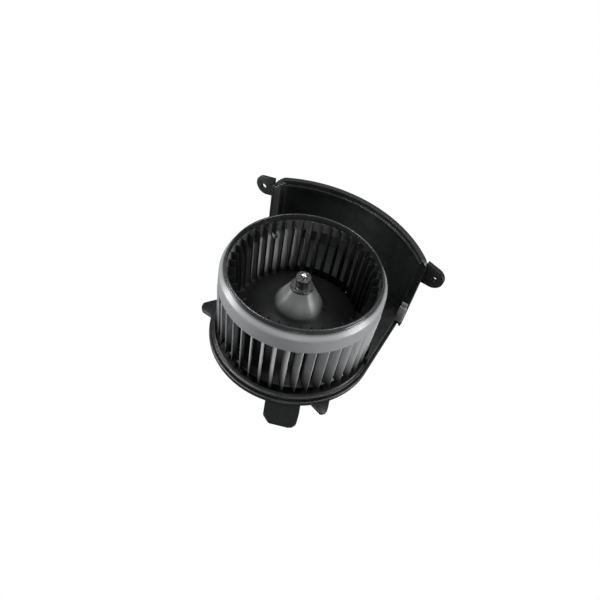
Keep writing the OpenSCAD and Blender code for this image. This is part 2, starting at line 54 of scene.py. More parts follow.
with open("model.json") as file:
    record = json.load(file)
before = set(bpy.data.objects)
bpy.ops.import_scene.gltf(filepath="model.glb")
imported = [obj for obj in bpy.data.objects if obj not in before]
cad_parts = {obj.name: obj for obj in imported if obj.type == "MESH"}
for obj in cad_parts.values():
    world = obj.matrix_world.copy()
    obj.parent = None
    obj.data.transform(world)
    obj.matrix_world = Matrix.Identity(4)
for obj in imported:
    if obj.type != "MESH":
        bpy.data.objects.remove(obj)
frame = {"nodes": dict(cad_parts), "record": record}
cad_low, cad_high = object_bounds()
MM = 0.001


def box_mm(node):
    """Lowest and highest corner of a CAD node, in millimetres."""
    low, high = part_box(node)
    return Vector(low) / MM, Vector(high) / MM


# ------------------------------------------------------------------ main sizes

ring_low, ring_high = box_mm("wheel_ring")
shaft_low, shaft_high = box_mm("motor_shaft")
CAN_R = box_mm("motor_can")[1].x

# Wheel. It turns about the Z axis, and TOP is the ring's upper rim. BLADE_PHASE and
# BLADE_LEAD are in degrees, the lead being how far a tip runs ahead of its root.
TOP = ring_high.z
TIP_R = ring_high.x
FOOT = box_mm("fan_wheel")[0].z
BAND_FOOT = ring_low.z
LIP_R = TIP_R - 5.65
RING_SEAT = TOP - 6.9
BLADES = 43
BLADE_PHASE = 7.75
BLADE_PITCH = 360 / BLADES
BLADE_DEPTH = 14.8
BLADE_LEAD = 4.1
BLADE_T = 1.5
ROOT_R = TIP_R - BLADE_DEPTH

# Hub, from the top down
NECK_TOP = TOP - 13.7
COLLAR_TOP = TOP - 24
HUB_FOOT = TOP - 42
HUB_SHELL = 2.2

# Skin of the hub cone and disc that the blades stand on, as (radius, height)
HUB_SKIN = [
    (11.4, TOP - 27), (17, TOP - 37.4), (22, TOP - 46.4), (25.5, TOP - 50.6), (31, TOP - 54.4),
    (40, TOP - 59.4), (50, TOP - 64.4), (ROOT_R, TOP - 69.2), (TIP_R - 7, FOOT + 6),
    (TIP_R - 3.2, FOOT + 2.6),
]

# Base plate: round to the front, with a raised floor that reaches back to the scroll wall.
# BASE is the underside of its rim.
BASE = TOP - 95
BASE_R = 82.7
RIGHT_CORNER_IN = 3.8
WELL_R = BASE_R - 6
SCROLL_FLOOR = BASE + 18
MOTOR_CUP_FOOT = BASE - 36
BOSS_FOOT = 13.1

# Scroll wall: two posts in the plane y = FRONT_Y and an arc about ARC between them, whose
# ends are the angles ARC_START on the right and ARC_END on the left
WALL_R = 125.6
FRONT_Y = 80.4
LEFT_X = -93.0
RIGHT_X = 82.8
LEFT_POST_W = 10.5
RIGHT_POST_W = 8.5
LIP_OUT = 1.8
FRAME_T = 3.0
LEFT_BACK = 2.2
FRAME_TOP_H = 7.6
ARC = Vector((-8.9, -8.1))
ARC_START = math.asin((FRONT_Y + FRAME_T - 0.7 - ARC.y) / WALL_R)
ARC_END = math.acos((LEFT_X + 0.1 - ARC.x) / WALL_R)

# Small turned solids start this far from their axis
AXIS = 0.01

# Edges that meet at more than this angle stay sharp in the shading
SHARP_ANGLE = math.radians(38)


# ------------------------------------------------------------------ shape tools

def rounded(points, radius, steps=4):
    """A closed outline whose corners become short curves; radius is one value or a list."""
    out = []
    count = len(points)
    for i, point in enumerate(points):
        reach = radius[i] if isinstance(radius, (list, tuple)) else radius
        corner = Vector(point)
        back = Vector(points[i - 1]) - corner
        ahead = Vector(points[(i + 1) % count]) - corner
        reach = min(reach, 0.45 * back.length, 0.45 * ahead.length)
        if reach < 1e-4:
            out.append(corner)
            continue
        start = corner + back.normalized() * reach
        end = corner + ahead.normalized() * reach
        for k in range(steps + 1):
            t = k / steps
            out.append(start * (1 - t) ** 2 + corner * 2 * t * (1 - t) + end * t * t)
    return out


def inset(outline, depth):
    """A closed counter-clockwise outline moved inward by depth."""
    out = []
    count = len(outline)
    for i, point in enumerate(outline):
        back = (outline[i] - outline[i - 1]).normalized()
        ahead = (outline[(i + 1) % count] - outline[i]).normalized()
        normal = Vector((-(back.y + ahead.y), back.x + ahead.x))
        if normal.length < 1e-6:
            normal = Vector((-back.y, back.x))
        normal.normalize()
        lean = max(0.5, normal.dot(Vector((-back.y, back.x))))
        out.append(point + normal * depth / lean)
    return out


def area_of(outline):
    """Signed area, positive when the outline runs counter-clockwise."""
    return sum(outline[i - 1].x * p.y - p.x * outline[i - 1].y for i, p in enumerate(outline)) / 2


class Shape:
    """Collects closed surfaces, in millimetres, and writes them as one piece."""

    def __init__(self):
        self.verts = []
        self.faces = []

    def add(self, verts, faces, place=None):
        first = len(self.verts)
        self.verts += [place @ Vector(v) if place else Vector(v) for v in verts]
        self.faces += [[first + i for i in face] for face in faces]
        return self

    def loft(self, rings, loop=False, place=None):
        """Joins closed rings of points; the ends are capped, or joined when loop is set."""
        count = len(rings[0])
        verts = [p for ring in rings for p in ring]
        faces = []
        spans = len(rings) if loop else len(rings) - 1
        for i in range(spans):
            j = (i + 1) % len(rings)
            for k in range(count):
                m = (k + 1) % count
                faces.append([i * count + k, i * count + m, j * count + m, j * count + k])
        if not loop:
            faces.append(list(range(count))[::-1])
            faces.append([(len(rings) - 1) * count + k for k in range(count)])
        return self.add(verts, faces, place)

    def lathe(self, profile, steps=192, start=0.0, sweep=360.0, place=None):
        """Turns a closed (radius, height) profile about Z."""
        full = abs(sweep - 360) < 1e-6
        rings = []
        for i in range(steps if full else steps + 1):
            a = math.radians(start + sweep * i / steps)
            rings.append([Vector((p[0] * math.cos(a), p[0] * math.sin(a), p[1])) for p in profile])
        return self.loft(rings, loop=full, place=place)

    def prism(self, outline, low, high, edge=0.4, place=None):
        """A plate with this outline between two heights, its rims rounded."""
        outline = [Vector(p) for p in outline]
        if area_of(outline) < 0:
            outline.reverse()
        levels = [
            (edge, low), (edge * 0.3, low + edge * 0.3), (0, low + edge),
            (0, high - edge), (edge * 0.3, high - edge * 0.3), (edge, high),
        ]
        rings = [[(p.x, p.y, z) for p in inset(outline, d)] for d, z in levels]
        return self.loft(rings, place=place)

    def block(self, low, high, edge=0.4, corner=0.4):
        """A box between two corners; edge rounds its rims and corner its upright edges."""
        (x0, y0, z0), (x1, y1, z1) = low, high
        outline = rounded([(x0, y0), (x1, y0), (x1, y1), (x0, y1)], corner, 3)
        return self.prism(outline, z0, z1, edge)

    def mesh(self, name):
        """A welded mesh in metres with its faces turned outward."""
        mesh = bpy.data.meshes.new(name)
        mesh.from_pydata([v * MM for v in self.verts], [], self.faces)
        work = bmesh.new()
        work.from_mesh(mesh)
        bmesh.ops.remove_doubles(work, verts=work.verts, dist=2e-6)
        bmesh.ops.dissolve_degenerate(work, edges=work.edges, dist=1e-6)
        bmesh.ops.recalc_face_normals(work, faces=work.faces)
        work.to_mesh(mesh)
        work.free()
        return mesh

    def make(self, name, body, look, slot, node, cutters=(), also_cut=(), extra=()):
        """Writes the piece, rides it on its body and replaces its CAD node.

        The cutters are taken out of this shape and of each shape in also_cut. The shapes
        in extra join the piece uncut.
        """
        obj = bpy.data.objects.new(name, self.mesh(name))
        bpy.context.scene.collection.objects.link(obj)
        for cutter in cutters:
            cut(obj, cutter)
        if also_cut or extra:
            join = bmesh.new()
            join.from_mesh(obj.data)
            for shape in also_cut:
                side = bpy.data.objects.new("side", shape.mesh("side"))
                bpy.context.scene.collection.objects.link(side)
                for cutter in cutters:
                    cut(side, cutter)
                join.from_mesh(side.data)
                bpy.data.objects.remove(side)
            for shape in extra:
                join.from_mesh(shape.mesh("extra"))
            join.to_mesh(obj.data)
            join.free()
        for face in obj.data.polygons:
            face.use_smooth = True
        obj.data.set_sharp_from_angle(angle=SHARP_ANGLE)
        obj.data.materials.clear()
        obj.data.materials.append(look)
        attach(obj, body)
        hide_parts(node)
        return obj


def cut(obj, cutter):
    """Takes a closed shape out of an object for good."""
    tool = bpy.data.objects.new("cutter", cutter.mesh("cutter"))
    bpy.context.scene.collection.objects.link(tool)
    step = obj.modifiers.new("cut", "BOOLEAN")
    step.operation = "DIFFERENCE"
    step.solver = "EXACT"
    step.use_self = True
    step.object = tool
    bpy.context.view_layer.update()
    ready = obj.evaluated_get(bpy.context.evaluated_depsgraph_get())
    mesh = bpy.data.meshes.new_from_object(ready)
    obj.modifiers.clear()
    obj.data = mesh
    bpy.data.objects.remove(tool)


def soften(obj, width):
    """Rounds the edges that a cut has left sharp."""
    step = obj.modifiers.new("soft_edges", "BEVEL")
    step.width = width * MM
    step.segments = 2
    step.limit_method = "ANGLE"
    step.angle_limit = math.radians(35)


def turn_z(degrees):
    return Matrix.Rotation(math.radians(degrees), 4, "Z")


# Lays an outline drawn as (x, z) upright: depth d becomes y = -d
UPRIGHT = Matrix.Rotation(math.pi / 2, 4, "X")


# ------------------------------------------------------------------ materials

GLOSS_SPREAD = 0.1
DUST_LIFT = 0.16


def material(name, color, rough, metallic=0.0, grain=(900, 0.02), cloud=0.12, dust=0.0,
             dust_stretch=(1, 1, 1), brushed=(1, 1, 1), specular=0.5, painted_light_and_finish_zones=(), foot_shade=None):
    """Procedural surface: tone clouds, uneven gloss, fine grain and a haze of dust.

    Noise scales are per metre. grain is the scale and strength of the bump. Each zone is
    (radius, blur, colour, roughness, specular): outside this distance from the Z axis, in
    millimetres, the roughness and specular change, and the colour changes as painted light or
    shade. foot_shade is (low height, high height, colour at the foot), painted shade that
    darkens the surface towards the foot.
    """
    mat = bpy.data.materials.new(name)
    mat.use_nodes = True
    tree = mat.node_tree
    nodes, links = tree.nodes, tree.links
    shader = nodes["Principled BSDF"]
    shader.inputs["Metallic"].default_value = metallic
    shader.inputs["Specular IOR Level"].default_value = specular
    where = nodes.new("ShaderNodeTexCoord")

    def noise(scale, detail, stretch=(1, 1, 1), roughness=0.55):
        spot = nodes.new("ShaderNodeMapping")
        spot.inputs["Scale"].default_value = stretch
        links.new(where.outputs["Object"], spot.inputs["Vector"])
        tex = nodes.new("ShaderNodeTexNoise")
        tex.inputs["Scale"].default_value = scale
        tex.inputs["Detail"].default_value = detail
        tex.inputs["Roughness"].default_value = roughness
        links.new(spot.outputs["Vector"], tex.inputs["Vector"])
        return tex.outputs["Fac"]

    def span(value, low, high, out_low, out_high):
        ramp = nodes.new("ShaderNodeMapRange")
        ramp.inputs["From Min"].default_value = low
        ramp.inputs["From Max"].default_value = high
        ramp.inputs["To Min"].default_value = out_low
        ramp.inputs["To Max"].default_value = out_high
        links.new(value, ramp.inputs["Value"])
        return ramp.outputs["Result"]

    def mix_value(factor, a, b):
        blend = nodes.new("ShaderNodeMix")
        links.new(factor, blend.inputs["Factor"])
        for socket, value in ((blend.inputs["A"], a), (blend.inputs["B"], b)):
            if isinstance(value, float):
                socket.default_value = value
            else:
                links.new(value, socket)
        return blend.outputs["Result"]

    def mix_color(factor, a, b):
        blend = nodes.new("ShaderNodeMix")
        blend.data_type = "RGBA"
        links.new(factor, blend.inputs["Factor"])
        for socket, value in ((blend.inputs["A"], a), (blend.inputs["B"], b)):
            if isinstance(value, tuple):
                socket.default_value = (*value, 1)
            else:
                links.new(value, socket)
        return blend.outputs["Result"]

    clouds = noise(38, 4)
    dark = tuple(c * (1 - cloud * 2) for c in color)
    light = tuple(min(1, c * (1 + cloud * 2)) for c in color)
    tone = mix_color(span(clouds, 0.3, 0.7, 0, 1), dark, light)
    if dust:
        haze = noise(60, 5, dust_stretch, 0.65)
        grey = tuple(min(1, c + DUST_LIFT) for c in color)
        tone = mix_color(span(haze, 0.5, 0.8, 0, dust), tone, grey)
    patches = noise(70, 5, brushed)
    gloss = span(patches, 0.3, 0.7, max(0.04, rough - GLOSS_SPREAD), min(1, rough + GLOSS_SPREAD))
    shine = specular
    # Each zone's colour is painted light or shade on the same material; its roughness and specular
    # change the finish
    for radius, blur, painted_zone_tone, zone_rough, zone_shine in painted_light_and_finish_zones:
        flat = nodes.new("ShaderNodeVectorMath")
        flat.operation = "MULTIPLY"
        flat.inputs[1].default_value = (1, 1, 0)
        links.new(where.outputs["Object"], flat.inputs[0])
        length = nodes.new("ShaderNodeVectorMath")
        length.operation = "LENGTH"
        links.new(flat.outputs["Vector"], length.inputs[0])
        outside = span(length.outputs["Value"], (radius - blur) * MM, (radius + blur) * MM, 0, 1)
        tone = mix_color(outside, tone, painted_zone_tone)
        gloss = mix_value(outside, gloss, zone_rough)
        shine = mix_value(outside, shine, zone_shine)
    if painted_light_and_finish_zones:
        links.new(shine, shader.inputs["Specular IOR Level"])
    # Painted shade: the colour darkens towards the foot, standing in for the shade low between the
    # blades
    if foot_shade:
        low, high, painted_foot_tone = foot_shade
        parts = nodes.new("ShaderNodeSeparateXYZ")
        links.new(where.outputs["Object"], parts.inputs["Vector"])
        tone = mix_color(span(parts.outputs["Z"], low * MM, high * MM, 1, 0), tone, painted_foot_tone)
    links.new(tone, shader.inputs["Base Color"])
    links.new(gloss, shader.inputs["Roughness"])
    grain_scale, grain_strength = grain
    fine = noise(grain_scale, 2, brushed)
    bump = nodes.new("ShaderNodeBump")
    bump.inputs["Strength"].default_value = grain_strength * 10
    bump.inputs["Distance"].default_value = 0.0001
    links.new(fine, bump.inputs["Height"])
    links.new(bump.outputs["Normal"], shader.inputs["Normal"])
    return mat


# The wheel is one plastic; its first colour is that of the collar and neck. The zone colours
# paint light and shade into it: a painted sheen on the cone, painted shade on the disc and on
# the inner edges of the blades, and painted light on the blade tips. foot_shade paints shade
# on the blades towards their foot.
wheel_mat = material("wheel_plastic", (0.022, 0.022, 0.022), 0.22, grain=(1400, 0.02), dust=0.04,
                     dust_stretch=(2.2, 2.2, 0.35), specular=0.8,
                     painted_light_and_finish_zones=[(10.8, 0.4, (0.12, 0.122, 0.122), 0.36, 0.5),
                            (19.5, 3.5, (0.0045, 0.0047, 0.005), 0.5, 0.12),
                            (59, 2, (0.006, 0.0063, 0.0066), 0.35, 0.2),
                            (67.5, 1.5, (0.22, 0.223, 0.228), 0.42, 0.4)],
                     foot_shade=(FOOT + 4, FOOT + 32, (0.004, 0.004, 0.0042)))
# The ring is one black plastic painted as lit and shaded copies: darker on the lip and inner wall
# as painted shade, lighter on the outer shoulder and band as painted light and sheen
ring_mat = material("ring_plastic", (0.012, 0.0125, 0.013), 0.26, grain=(1800, 0.015), dust=0.05,
                    dust_stretch=(0.6, 0.6, 2.5),
                    painted_light_and_finish_zones=[(LIP_R + 1.6, 0.9, (0.165, 0.168, 0.172), 0.36, 0.4)])
housing_mat = material("housing_plastic", (0.008, 0.0084, 0.0088), 0.36, grain=(1100, 0.05),
                       dust=0.03, specular=0.3)
socket_mat = material("socket_plastic", (0.0045, 0.0048, 0.005), 0.5, grain=(1100, 0.05),
                      dust=0.02, specular=0.12)
clip_mat = material("clip_plastic", (0.12, 0.121, 0.125), 0.45, grain=(1200, 0.04), dust=0.1)
steel_mat = material("steel", (0.56, 0.57, 0.58), 0.26, 1.0, grain=(900, 0.03),
                     brushed=(1, 1, 6), cloud=0.08)
spring_mat = material("spring_steel", (0.1, 0.1, 0.105), 0.35, 1.0, grain=(900, 0.03), cloud=0.2)
zinc_mat = material("zinc_steel", (0.42, 0.43, 0.44), 0.38, 1.0, grain=(700, 0.05), cloud=0.16)
lamination_mat = material("lamination", (0.33, 0.34, 0.36), 0.45, 1.0, grain=(1500, 0.08),
                          brushed=(0.2, 0.2, 9), cloud=0.1)
copper_mat = material("copper", (0.62, 0.26, 0.12), 0.32, 1.0, grain=(1500, 0.08), cloud=0.15)
bronze_mat = material("bronze", (0.6, 0.42, 0.2), 0.36, 1.0, grain=(1500, 0.05), cloud=0.15)
nylon_mat = material("nylon", (0.6, 0.57, 0.48), 0.5, grain=(1200, 0.04))
ferrite_mat = material("ferrite", (0.045, 0.045, 0.048), 0.7, grain=(1600, 0.12), cloud=0.2)
card_mat = material("card", (0.13, 0.06, 0.03), 0.55, grain=(1300, 0.08), cloud=0.15)
carbon_mat = material("carbon", (0.02, 0.02, 0.021), 0.6, grain=(2200, 0.15), cloud=0.2)
rubber_mat = material("rubber", (0.012, 0.012, 0.012), 0.75, grain=(1500, 0.1), dust=0.2)

LOOKS = {
    "wheel_plastic": wheel_mat, "ring_plastic": ring_mat, "housing_plastic": housing_mat,
    "clip_plastic": clip_mat, "steel": steel_mat, "lamination": lamination_mat,
    "motor_steel": zinc_mat, "copper": copper_mat, "bronze": bronze_mat, "nylon": nylon_mat,
    "ferrite": ferrite_mat, "card": card_mat, "carbon": carbon_mat, "rubber": rubber_mat,
}


def dress_cad_nodes():
    """Gives each CAD node its material; the star washer is of darker spring steel."""
    for part in frame["record"]["subparts"]:
        node = frame["nodes"][part["node"]]
        star_washer = part["node"] == "shaft_clip"
        node.data.materials.clear()
        node.data.materials.append(spring_mat if star_washer else LOOKS[part["material_slot"]])
        for face in node.data.polygons:
            face.material_index = 0


dress_cad_nodes()


# ------------------------------------------------------------------ wheel

def skin_height(radius):
    """Height of the hub skin at this radius."""
    for (r0, z0), (r1, z1) in zip(HUB_SKIN, HUB_SKIN[1:]):
        if r0 <= radius <= r1:
            return z0 + (z1 - z0) * (radius - r0) / (r1 - r0)
    return HUB_SKIN[-1][1]


def blade_foot(radius):
    """Height at which a blade starts: inside the disc, then down to the wheel's foot."""
    inner, outer = TIP_R - 8.0, TIP_R - 4.0
    t = min(1.0, max(0.0, (radius - inner) / (outer - inner)))
    return (1 - t) * (skin_height(min(radius, inner)) - 1.2) + t * FOOT


def blade_top(radius):
    """Height at which a blade ends under the ring at this radius."""
    slope_start = LIP_R + 0.6
    slope_drop, slope_run = 4.2, 3.0
    if radius < slope_start:
        return RING_SEAT
    if radius < TIP_R - 2.0:
        return RING_SEAT - slope_drop * (radius - slope_start) / slope_run
    return BAND_FOOT - 0.05


def blade_line(steps=12):
    """Centre line of a blade: radial at the root, then an arc that leads forward."""
    straight = 4.7
    dx = TIP_R * math.cos(math.radians(BLADE_LEAD)) - ROOT_R - straight
    dy = TIP_R * math.sin(math.radians(BLADE_LEAD))
    radius = (dx * dx + dy * dy) / (2 * dy)
    sweep = math.asin(dx / radius)
    line = [(ROOT_R + straight * k / 3, 0.0, 0.0) for k in range(3)]
    for k in range(steps + 1):
        a = sweep * k / steps
        line.append((ROOT_R + straight + radius * math.sin(a), radius * (1 - math.cos(a)), a))
    return line


def blade_outline():
    """Closed section of one blade with rounded edges, thinner towards the tip."""
    line = blade_line()
    last = len(line) - 1
    near, far = [], []
    for k, (x, y, a) in enumerate(line):
        half = BLADE_T / 2 * (1 - 0.18 * (k / last))
        side = Vector((-math.sin(a), math.cos(a))) * half
        near.append(Vector((x, y)) - side)
        far.append(Vector((x, y)) + side)
    return rounded(near + far[::-1], 0.45, 3)


def hub_profile():
    """Closed section of the hub: rim, neck, collar, cone and disc, then back under them."""
    bore_r, neck_r, rim_r, seat_r, collar_r = 4.9, 5.8, 6.9, 8.0, 10.4
    collar = COLLAR_TOP
    # Each entry is radius, height and how far its corner is rounded
    front = [
        (bore_r, HUB_FOOT, 0.2), (bore_r, NECK_TOP - 1.4, 0.2), (rim_r - 1, NECK_TOP - 1.4, 0.2),
        (rim_r - 1, NECK_TOP, 0.4), (rim_r, NECK_TOP, 0.4), (rim_r, NECK_TOP - 1.8, 0.4),
        (neck_r, NECK_TOP - 2.3, 0.4), (neck_r, collar - 0.9, 0.3), (seat_r, collar - 0.9, 0.3),
        (seat_r, collar - 0.4, 0.2), (9.2, collar - 0.4, 0.3), (9.4, collar, 0.3),
        (collar_r, collar, 0.6), (collar_r, collar - 1.6, 0.5), (11.2, collar - 2.8, 1.0),
        (17, TOP - 37.4, 5), (21.6, TOP - 45.6, 4), (24.6, TOP - 49.4, 3), (31, TOP - 53.4, 5),
        (40, TOP - 59, 6), (50, TOP - 64.4, 8), (ROOT_R, TOP - 69.2, 6), (TIP_R - 7, FOOT + 6, 4),
        (TIP_R - 3.2, FOOT + 2.6, 0.5),
    ]
    back = [(r, z - HUB_SHELL, 4) for r, z in HUB_SKIN[:0:-1]]
    back += [(11.2, collar - 2.8 - HUB_SHELL, 2), (8.6, collar - 5.2, 1), (8.6, HUB_FOOT, 0.5)]
    points = front + back
    return rounded([(r, z) for r, z, soft in points], [soft for r, z, soft in points], 5)


def fan_wheel():
    """Blades, hub and disc, with the small nub that stands on the cone."""
    shape = Shape()
    section = blade_outline()
    thin = inset(section, 0.3)
    rings = [
        [(p.x, p.y, blade_foot(p.length)) for p in section],
        [(p.x, p.y, blade_top(p.length) - 0.4) for p in section],
        [(p.x, p.y, blade_top(p.length)) for p in thin],
    ]
    for i in range(BLADES):
        shape.loft(rings, place=turn_z(BLADE_PHASE + i * BLADE_PITCH))
    shape.lathe(hub_profile(), 240)
    nub_low, nub_top = TOP - 51, TOP - 45.8
    nub = [(AXIS, nub_low), (1.7, nub_low), (1.5, nub_top), (AXIS, nub_top)]
    shape.lathe(rounded(nub, [0, 0, 0.6, 0], 4), 32,
                place=turn_z(21) @ Matrix.Translation((24, 0, 0)))
    shape.make("fan_wheel_moulding", "rotor", wheel_mat, "wheel_plastic", "fan_wheel")


def wheel_ring():
    """Shroud ring over the blade tips, turned in one piece."""
    profile = [
        (LIP_R - 1.5, TOP), (LIP_R, TOP), (LIP_R + 0.2, TOP - 3.2), (LIP_R + 1, TOP - 3.9),
        (TIP_R - 1.4, TOP - 7.8), (TIP_R - 0.8, TOP - 9.4), (TIP_R, BAND_FOOT),
        (TIP_R - 1.8, BAND_FOOT), (TIP_R - 2.3, TOP - 10.3), (LIP_R + 0.7, TOP - 6.8),
        (LIP_R - 1.5, TOP - 6.8),
    ]
    soft = [0.6, 0.6, 0.5, 0.5, 1.0, 0.8, 0.5, 0.5, 1.2, 0.5, 0.5]
    Shape().lathe(rounded(profile, soft, 5), 288).make(
        "inlet_ring", "rotor", ring_mat, "ring_plastic", "wheel_ring")


def turned_shaft():
    """Motor shaft with a domed tip."""
    r, foot, tip = shaft_high.x, shaft_low.z, shaft_high.z
    middle = 0.001
    profile = [(middle, foot), (r, foot), (r, tip - 1.6), (r - 1.0, tip - 0.3), (middle, tip)]
    Shape().lathe(rounded(profile, [0, 0.5, 1.0, 0.9, 0], 5), 64).make(
        "turned_shaft", "rotor", steel_mat, "steel", "motor_shaft")


def brush_springs():
    """Coil springs behind the brushes, each made at one length, though a real one shortens as its
    brush slides outward.
    """
    wire_r, travel = 0.34, 3.0
    turns, steps, sides = 5, 28, 10
    flat_part = 0.1
    along = Vector((1, 0, 0))
    for side, out in (("right", 1), ("left", -1)):
        node = "brush_spring_" + side
        low, high = box_mm(node)
        middle = (low + high) / 2
        coil_r = (high.z - low.z) / 2 - wire_r - 0.02
        # The near end bears on the brush and the far end on the holder
        near, far = (low.x, high.x) if out > 0 else (high.x, low.x)
        first, last = near + out * (wire_r + 0.01), far - out * (wire_r + 0.01)
        rings = []
        for k in range(turns * steps + 1):
            t = k / (turns * steps)
            a = 2 * math.pi * turns * t
            radial = Vector((0, math.cos(a), math.sin(a)))
            # The end coils lie flat
            rise = min(1.0, max(0.0, (t - flat_part) / (1 - 2 * flat_part)))
            centre = Vector((first + (last - first) * rise, middle.y, middle.z)) + radial * coil_r
            angles = (2 * math.pi * j / sides for j in range(sides))
            rings.append([centre + (radial * math.cos(b) + along * math.sin(b)) * wire_r
                          for b in angles])
        coil = Shape().loft(rings).make(
            "coil_spring_" + side, "carrier", steel_mat, "steel", node)
        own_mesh(coil)


fan_wheel()
wheel_ring()
turned_shaft()
brush_springs()


# ------------------------------------------------------------------ base plate

def base_outline(depth, arc_steps=150, side_steps=12, wall_steps=60):
    """Plan of the base, moved inward by depth, counter-clockwise from the left side.

    It runs round the well, straight to the right corner, along the wall's arc and straight
    back from the left corner.
    """
    r = BASE_R - depth
    left = Vector((LEFT_X + depth, FRONT_Y))
    right = Vector((RIGHT_X - RIGHT_CORNER_IN - depth, FRONT_Y))
    tangent = math.pi - math.atan2(FRONT_Y, -left.x) + math.acos(r / left.length)
    points = []
    for i in range(arc_steps + 1):
        a = tangent + (2 * math.pi - tangent) * i / arc_steps
        points.append(Vector((r * math.cos(a), r * math.sin(a))))
    meet = points[-1]
    points += [meet.lerp(right, k / side_steps) for k in range(1, side_steps + 1)]
    reach = WALL_R - depth
    start = math.asin((FRONT_Y - ARC.y) / reach)
    end = math.acos((left.x - ARC.x) / reach)
    for i in range(wall_steps + 1):
        a = start + (end - start) * i / wall_steps
        points.append(ARC + Vector((reach * math.cos(a), reach * math.sin(a))))
    meet = points[0]
    points += [left.lerp(meet, k / side_steps) for k in range(side_steps)]
    return points


def scroll_floor():
    """Raised floor between the well and the scroll wall, as one ribbon round the well."""
    edge = 0.35
    foot = BASE + 8
    side_in, arc_in = 2.9, 0.3
    outline = [p for p in base_outline(side_in) if p.y >= 0]
    rings = []
    for p in outline:
        away = p.normalized()
        rim = p
        if p.y > FRONT_Y + 1:
            rim = ARC + (p - ARC).normalized() * (WALL_R - arc_in)
        well = away * WELL_R
        section = [
            (well, foot), (rim, foot), (rim, SCROLL_FLOOR - edge),
            (rim - away * edge * 0.3, SCROLL_FLOOR - edge * 0.3),
            (rim - away * edge, SCROLL_FLOOR), (well + away * edge, SCROLL_FLOOR),
            (well + away * edge * 0.3, SCROLL_FLOOR - edge * 0.3), (well, SCROLL_FLOOR - edge),
        ]
        rings.append([(q.x, q.y, z) for q, z in section])
    return Shape().loft(rings)


def motor_cup():
    """Floor of the well, the cup that holds the motor, and its three screw bosses."""
    shape = Shape()
    cup_r = CAN_R + 2.6
    wall = 2.4
    cup = [
        (cup_r, MOTOR_CUP_FOOT), (cup_r + wall, MOTOR_CUP_FOOT), (cup_r + wall, BASE + 1.6),
        (WELL_R + 0.4, BASE + 1.6), (WELL_R + 0.4, BASE + 4.8), (WELL_R - 0.6, BASE + 4),
        (cup_r, BASE + 4),
    ]
    shape.lathe(rounded(cup, [0.5, 0.6, 1.5, 0.2, 0.2, 0.8, 0.6], 4), 192)
    boss_r = 5
    boss = [(AXIS, BOSS_FOOT), (boss_r, BOSS_FOOT), (boss_r, BASE + 2), (AXIS, BASE + 2)]
    for a in (90, 210, 330):
        shape.lathe(rounded(boss, [0, 0.5, 0, 0], 3), 40,
                    place=turn_z(a) @ Matrix.Translation((CAN_R + 7.5, 0, 0)))
    return shape


def guide_tabs(shape):
    """Two tabs of the lower flange, left and front right."""
    left_tab = [(-78, -17), (-83.2, -17.9), (-90.6, -30), (-88.6, -35.6), (-84.3, -38.7),
                (-70, -38.7)]
    small_tab = [(55, -54), (59.9, -57.6), (71.8, -60.4), (74.6, -57.4), (74.8, -53.4),
                 (70.9, -43.2), (64, -44)]
    for tab in (left_tab, small_tab):
        shape.prism(rounded(tab, 1.6, 4), BASE, BASE + 3, 0.4)


def floor_dots(shape):
    """Two low round marks on the raised floor."""
    r, sunk, proud = 1.6, 0.5, 0.4
    dot = [(AXIS, SCROLL_FLOOR - sunk), (r, SCROLL_FLOOR - sunk), (r, SCROLL_FLOOR + proud),
           (AXIS, SCROLL_FLOOR + proud)]
    for x, y in ((69.1, 81.5), (71.4, 54.5)):
        shape.lathe(rounded(dot, [0, 0, 0.3, 0], 3), 32, place=Matrix.Translation((x, y, 0)))


def post_notches():
    """What is cut out of the base: a place under each post and a pocket for its clip."""
    fit, room, edge = 0.05, 0.3, 0.05
    above = SCROLL_FLOOR + 5
    notches = []
    for node, x0, x1, back in (("clip_left", LEFT_X - 2, LEFT_X + LEFT_POST_W, LEFT_BACK),
                               ("clip_right", RIGHT_X - RIGHT_POST_W, RIGHT_X + 2, 0)):
        low, high = box_mm(node)
        pocket_x0, pocket_x1, pocket_y1 = low.x - room, high.x + room, low.y + 5
        notches += [
            Shape().block((x0, FRONT_Y - LIP_OUT - fit, BASE - 1),
                          (x1, FRONT_Y + FRAME_T + fit + back, above), edge, edge),
            Shape().block((min(pocket_x0, x0), low.y - 3, BASE + 8.6),
                          (max(pocket_x1, x1), pocket_y1, above), edge, edge),
            Shape().block((pocket_x0, low.y - room, low.z - 1.5),
                          (pocket_x1, pocket_y1, SCROLL_FLOOR), edge, edge),
        ]
    return notches


def base_plate():
    """Rim and raised floor, which are cut for the posts, with cup, tabs and dots joined."""
    # Section of the rim from its underside outward and up: (depth inward, height)
    flange = [
        (6.6, BASE), (0.3, BASE), (0.0, BASE + 0.3), (0.0, BASE + 2.9), (0.5, BASE + 3.8),
        (0.8, BASE + 4.0), (2.2, BASE + 4.0), (3.6, BASE + 3.4), (3.8, BASE + 3.6),
        (3.8, BASE + 6.0), (3.6, BASE + 6.2), (2.9, BASE + 6.2), (2.6, BASE + 6.5),
        (2.6, BASE + 7.9), (2.8, BASE + 8.2), (3.1, BASE + 8.3), (4.9, BASE + 8.5),
        (5.2, BASE + 8.8), (5.25, BASE + 10.2), (5.4, BASE + 10.4), (5.85, BASE + 10.4),
        (6.0, BASE + 10.2), (6.0, BASE + 4), (6.6, BASE + 3),
    ]
    rim = Shape().loft([[(p.x, p.y, z) for p in base_outline(d)] for d, z in flange], loop=True)
    fixed = motor_cup()
    guide_tabs(fixed)
    floor_dots(fixed)
    rim.make("base_moulding", "carrier", housing_mat, "housing_plastic", "base_plate",
             cutters=post_notches(), also_cut=[scroll_floor()], extra=[fixed])


base_plate()


# ------------------------------------------------------------------ scroll wall

